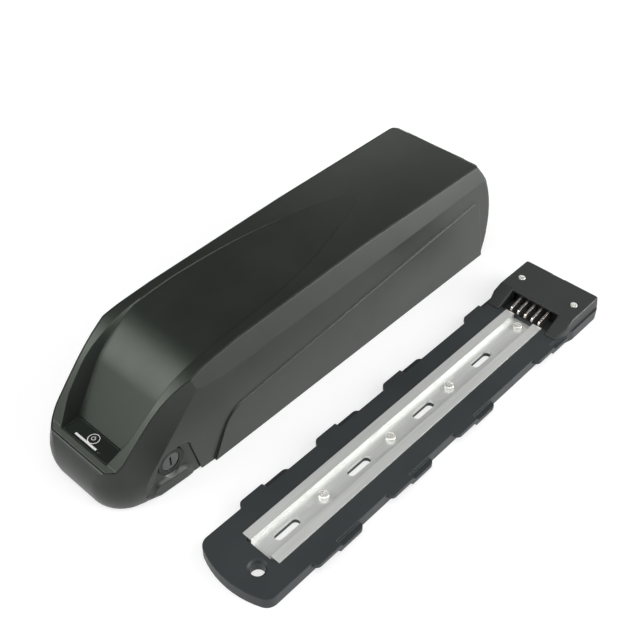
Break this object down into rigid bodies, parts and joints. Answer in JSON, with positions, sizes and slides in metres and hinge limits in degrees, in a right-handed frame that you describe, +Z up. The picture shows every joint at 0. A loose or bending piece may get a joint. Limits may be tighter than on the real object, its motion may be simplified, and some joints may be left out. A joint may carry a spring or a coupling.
{
  "type": "e-bike down-tube battery",
  "caption": "Down-tube e-bike battery pack with a sloped nose, key lock and charge gauge, lying beside its slotted mounting plate.",
  "frame": {"origin": "on the floor, under the middle of the pack and its plate", "axes": "+X from the pack towards the plate, +Y from the pack's nose to its tail, +Z up"},
  "size_m": [0.1946, 0.365, 0.0878],
  "materials": {
    "shell_plastic": "satin",
    "cover_plastic": "satin",
    "tray_plastic": "matt",
    "gauge_face": "gloss",
    "gauge_light": "gloss",
    "button_face": "satin",
    "circuit_board": "satin",
    "lock_zinc": "satin",
    "lock_steel": "satin",
    "socket_plastic": "matt",
    "cap_rubber": "matt",
    "switch_plastic": "satin",
    "rocker_plastic": "gloss",
    "cell_wrap": "satin",
    "holder_plastic": "matt",
    "nickel": "satin",
    "heat_aluminium": "brushed",
    "chip_epoxy": "matt",
    "fuse_plastic": "gloss",
    "lead_red": "satin",
    "lead_black": "satin",
    "contact_brass": "polished",
    "black_screws": "satin",
    "plate_plastic": "satin",
    "rail_aluminium": "brushed",
    "bright_screws": "bright",
    "box_plastic": "satin",
    "grommet_rubber": "matt"
  },
  "bodies": {
    "pack": {"side_shell": "shell_plastic", "top_cover": "cover_plastic", "bottom_tray": "tray_plastic", "gauge_window": "gauge_face", "gauge_bar": "gauge_light", "gauge_board": "circuit_board", "lock_housing": "lock_zinc", "lock_nut": "lock_zinc", "charge_socket": "socket_plastic", "switch_frame": "switch_plastic", "cells_row_1": "cell_wrap", "cells_row_2": "cell_wrap", "cells_row_3": "cell_wrap", "cells_row_4": "cell_wrap", "cell_holder_left": "holder_plastic", "cell_holder_right": "holder_plastic", "nickel_strips_left": "nickel", "nickel_strips_right": "nickel", "bms_board": "circuit_board", "bms_heat_plate": "heat_aluminium", "bms_parts": "chip_epoxy", "fuse_holder": "socket_plastic", "blade_fuse": "fuse_plastic", "lead_positive": "lead_red", "lead_negative": "lead_black", "discharge_socket": "socket_plastic", "socket_contacts": "contact_brass", "case_screws": "black_screws"},
    "button": {"power_button": "button_face"},
    "lock_plug": {"lock_barrel": "lock_steel", "lock_cam": "lock_steel"},
    "bolt": {"lock_bolt": "lock_steel"},
    "cap": {"charge_cap": "cap_rubber"},
    "rocker": {"switch_rocker": "rocker_plastic"},
    "plate": {"base_plate": "plate_plastic", "mount_rail": "rail_aluminium", "rail_screws": "bright_screws", "connector_cover": "box_plastic", "contact_block": "socket_plastic", "blade_contacts": "contact_brass", "cover_screws": "bright_screws", "cable_grommet": "grommet_rubber"}
  },
  "joints": [
    {"name": "button_press", "type": "slide", "parent": "pack", "child": "button", "axis": [0, 0, -1], "range_m": [0, 0.0008], "stiffness_N_per_m": 400},
    {"name": "lock_turn", "type": "hinge", "parent": "pack", "child": "lock_plug", "pos_m": [-0.0323, -0.1385, 0.021], "axis": [1, 0, 0], "range_deg": [0, 90]},
    {"name": "bolt_drop", "type": "slide", "parent": "pack", "child": "bolt", "axis": [0, 0, -1], "range_m": [0, 0.006]},
    {"name": "cap_open", "type": "hinge", "parent": "pack", "child": "cap", "pos_m": [-0.0934, -0.1495, 0.0287], "axis": [0, 1, 0], "range_deg": [0, 110]},
    {"name": "rocker_tilt", "type": "hinge", "parent": "pack", "child": "rocker", "pos_m": [-0.0897, -0.1215, 0.021], "axis": [0, 0, 1], "range_deg": [0, 16]},
    {"name": "plate_dock", "type": "slide", "parent": "pack", "child": "plate", "axis": [0, -1, 0], "range_m": [0, 0.02]}
  ],
  "couplings": [
    {"joint": "bolt_drop", "follows": "lock_turn", "m_per_rad": 0.003819}
  ]
}
